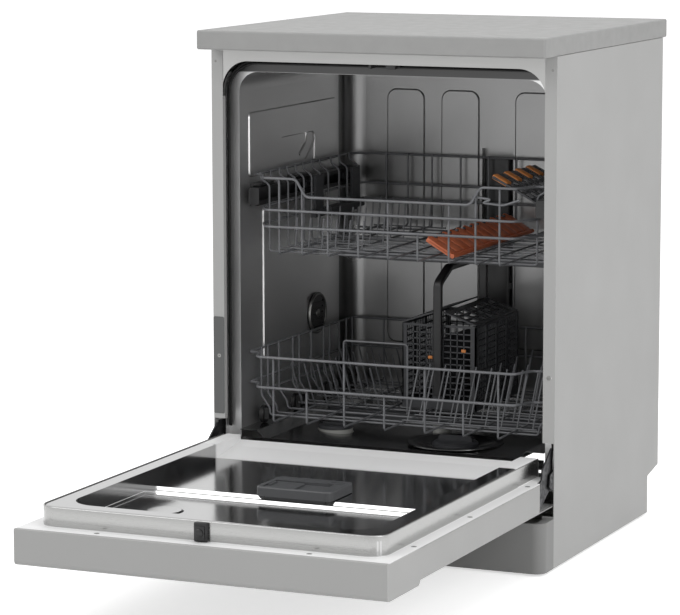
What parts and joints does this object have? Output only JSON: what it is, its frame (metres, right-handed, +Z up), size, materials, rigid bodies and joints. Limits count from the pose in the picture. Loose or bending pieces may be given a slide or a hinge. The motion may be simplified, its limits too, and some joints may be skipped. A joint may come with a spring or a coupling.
{
  "type": "freestanding dishwasher",
  "caption": "Freestanding dishwasher with its door lowered, wire baskets on wheels and rails, a cutlery basket, spray arms and folding cup shelves",
  "frame": {"origin": "Middle of the bounding box on the floor, with the door open", "axes": "+X to the right seen from the front, +Y from the open door towards the back of the machine, +Z up"},
  "size_m": [0.6, 1.224, 0.85],
  "materials": {
    "outer_paint": "satin grey powder coat",
    "worktop_laminate": "matt grey laminate",
    "door_paint": "satin grey",
    "stainless": "bright rolled stainless steel",
    "zinc_steel": "zinc plated",
    "black_plastic": "moulded black",
    "dark_grey_plastic": "moulded dark grey",
    "pale_plastic": "moulded natural grey",
    "dispenser_grey": "moulded grey",
    "button_grey": "moulded grey",
    "seal_rubber": "soft black rubber",
    "wire_coating": "grey nylon coating over steel wire",
    "terracotta": "moulded terracotta"
  },
  "bodies": {
    "cabinet": {"worktop": "worktop_laminate", "side_panel_left": "outer_paint", "side_panel_right": "outer_paint", "back_panel": "outer_paint", "base_tray": "pale_plastic", "levelling_feet": "black_plastic", "plinth": "outer_paint", "front_frame": "zinc_steel", "tub_wrapper": "stainless", "tub_back": "stainless", "tub_floor": "stainless", "tub_gasket": "seal_rubber", "latch_catch": "black_plastic", "sump": "pale_plastic", "filter_plate": "stainless", "circulation_pump": "pale_plastic", "drain_pump": "pale_plastic", "water_softener": "pale_plastic", "inlet_valve": "pale_plastic", "steam_vent": "black_plastic", "air_break_chamber": "pale_plastic", "water_duct": "black_plastic", "rail_brackets": "black_plastic", "hinge_brackets": "zinc_steel", "spring_sleeves": "black_plastic", "cable_cover": "dark_grey_plastic"},
    "door": {"door_outer_panel": "door_paint", "door_liner": "stainless", "control_fascia": "door_paint", "door_latch": "black_plastic", "dispenser_body": "dispenser_grey", "hinge_arms": "zinc_steel", "door_seal": "seal_rubber"},
    "lower_basket": {"lower_basket_frame": "wire_coating", "wheel_clips": "dark_grey_plastic", "cutlery_basket": "dark_grey_plastic", "cutlery_handle": "dark_grey_plastic"},
    "upper_basket": {"upper_basket_frame": "wire_coating", "height_adjusters": "dark_grey_plastic", "upper_feed_pipe": "dark_grey_plastic"},
    "coarse_filter": {"coarse_filter": "dark_grey_plastic"},
    "salt_cap": {"salt_cap": "dark_grey_plastic"},
    "lower_spray_arm": {"lower_spray_arm": "dark_grey_plastic"},
    "dispenser_lid": {"dispenser_lid": "dispenser_grey"},
    "rinse_aid_cap": {"rinse_aid_cap": "dispenser_grey"},
    "power_button": {"power_button": "button_grey"},
    "programme_button": {"programme_button": "button_grey"},
    "start_button": {"start_button": "button_grey"},
    "lower_wheels_1": {"lower_wheels_1": "dark_grey_plastic"},
    "lower_wheels_2": {"lower_wheels_2": "dark_grey_plastic"},
    "lower_wheels_3": {"lower_wheels_3": "dark_grey_plastic"},
    "lower_wheels_4": {"lower_wheels_4": "dark_grey_plastic"},
    "cutlery_lid_left": {"cutlery_lid_left": "dark_grey_plastic"},
    "cutlery_lid_right": {"cutlery_lid_right": "dark_grey_plastic"},
    "cup_shelf_grey": {"cup_shelf_grey": "dark_grey_plastic"},
    "cup_shelf_orange": {"cup_shelf_orange": "terracotta"},
    "upper_spray_arm": {"upper_spray_arm": "dark_grey_plastic"},
    "upper_rollers_front": {"upper_rollers_front": "dark_grey_plastic"},
    "upper_rollers_rear": {"upper_rollers_rear": "dark_grey_plastic"},
    "upper_rails": {"upper_rails": "black_plastic"}
  },
  "joints": [
    {"name": "door_hinge", "type": "hinge", "parent": "cabinet", "child": "door", "pos_m": [0, 0.056, 0.147], "axis": [1, 0, 0], "range_deg": [-90, 0]},
    {"name": "lower_basket_slide", "type": "slide", "parent": "cabinet", "child": "lower_basket", "axis": [0, -1, 0], "range_m": [0, 0.5]},
    {"name": "upper_basket_slide", "type": "slide", "parent": "cabinet", "child": "upper_basket", "axis": [0, -1, 0], "range_m": [0, 0.36]},
    {"name": "upper_rails_slide", "type": "slide", "parent": "cabinet", "child": "upper_rails", "axis": [0, -1, 0], "range_m": [0, 0.18]},
    {"name": "lower_wheels_1_turn", "type": "hinge", "parent": "lower_basket", "child": "lower_wheels_1", "pos_m": [0, 0.167, 0.1983], "axis": [1, 0, 0], "continuous": true},
    {"name": "lower_wheels_2_turn", "type": "hinge", "parent": "lower_basket", "child": "lower_wheels_2", "pos_m": [0, 0.294, 0.1983], "axis": [1, 0, 0], "continuous": true},
    {"name": "lower_wheels_3_turn", "type": "hinge", "parent": "lower_basket", "child": "lower_wheels_3", "pos_m": [0, 0.423, 0.1983], "axis": [1, 0, 0], "continuous": true},
    {"name": "lower_wheels_4_turn", "type": "hinge", "parent": "lower_basket", "child": "lower_wheels_4", "pos_m": [0, 0.516, 0.1983], "axis": [1, 0, 0], "continuous": true},
    {"name": "upper_rollers_front_turn", "type": "hinge", "parent": "upper_basket", "child": "upper_rollers_front", "pos_m": [0, 0.337, 0.571], "axis": [1, 0, 0], "continuous": true},
    {"name": "upper_rollers_rear_turn", "type": "hinge", "parent": "upper_basket", "child": "upper_rollers_rear", "pos_m": [0, 0.493, 0.571], "axis": [1, 0, 0], "continuous": true},
    {"name": "lower_spray_arm_turn", "type": "hinge", "parent": "cabinet", "child": "lower_spray_arm", "pos_m": [0, 0.329, 0.18], "axis": [0, 0, 1], "continuous": true},
    {"name": "upper_spray_arm_turn", "type": "hinge", "parent": "upper_basket", "child": "upper_spray_arm", "pos_m": [0.011, 0.324, 0.46], "axis": [0, 0, 1], "continuous": true},
    {"name": "coarse_filter_twist", "type": "hinge", "parent": "cabinet", "child": "coarse_filter", "pos_m": [0.06, 0.242, 0.15], "axis": [0, 0, 1], "range_deg": [0, 90]},
    {"name": "salt_cap_turn", "type": "hinge", "parent": "cabinet", "child": "salt_cap", "pos_m": [-0.165, 0.257, 0.165], "axis": [0, 0, 1], "range_deg": [0, 360]},
    {"name": "dispenser_lid_slide", "type": "slide", "parent": "door", "child": "dispenser_lid", "axis": [1, 0, 0], "range_m": [0, 0.045]},
    {"name": "rinse_aid_cap_turn", "type": "hinge", "parent": "door", "child": "rinse_aid_cap", "pos_m": [0.048, -0.221, 0.17], "axis": [0, 0, 1], "range_deg": [0, 90]},
    {"name": "power_button_press", "type": "slide", "parent": "door", "child": "power_button", "axis": [0, 0, 1], "range_m": [0, 0.0015], "stiffness_N_per_m": 400, "springref_m": -0.002},
    {"name": "programme_button_press", "type": "slide", "parent": "door", "child": "programme_button", "axis": [0, 0, 1], "range_m": [0, 0.0015], "stiffness_N_per_m": 400, "springref_m": -0.002},
    {"name": "start_button_press", "type": "slide", "parent": "door", "child": "start_button", "axis": [0, 0, 1], "range_m": [0, 0.0015], "stiffness_N_per_m": 400, "springref_m": -0.002},
    {"name": "cutlery_lid_left_hinge", "type": "hinge", "parent": "lower_basket", "child": "cutlery_lid_left", "pos_m": [-0.0505, 0.38, 0.352], "axis": [0, -1, 0], "range_deg": [0, 110]},
    {"name": "cutlery_lid_right_hinge", "type": "hinge", "parent": "lower_basket", "child": "cutlery_lid_right", "pos_m": [0.0795, 0.38, 0.352], "axis": [0, 1, 0], "range_deg": [0, 110]},
    {"name": "cup_shelf_orange_fold", "type": "hinge", "parent": "upper_basket", "child": "cup_shelf_orange", "pos_m": [0.0883, 0.34, 0.4844], "axis": [0, 1, 0], "range_deg": [0, 58]},
    {"name": "cup_shelf_grey_fold", "type": "hinge", "parent": "upper_basket", "child": "cup_shelf_grey", "pos_m": [0.2246, 0.315, 0.562], "axis": [0, 1, 0], "range_deg": [0, 60]}
  ],
  "couplings": [
    {"joint": "upper_rails_slide", "follows": "upper_basket_slide", "ratio": 0.5}
  ]
}
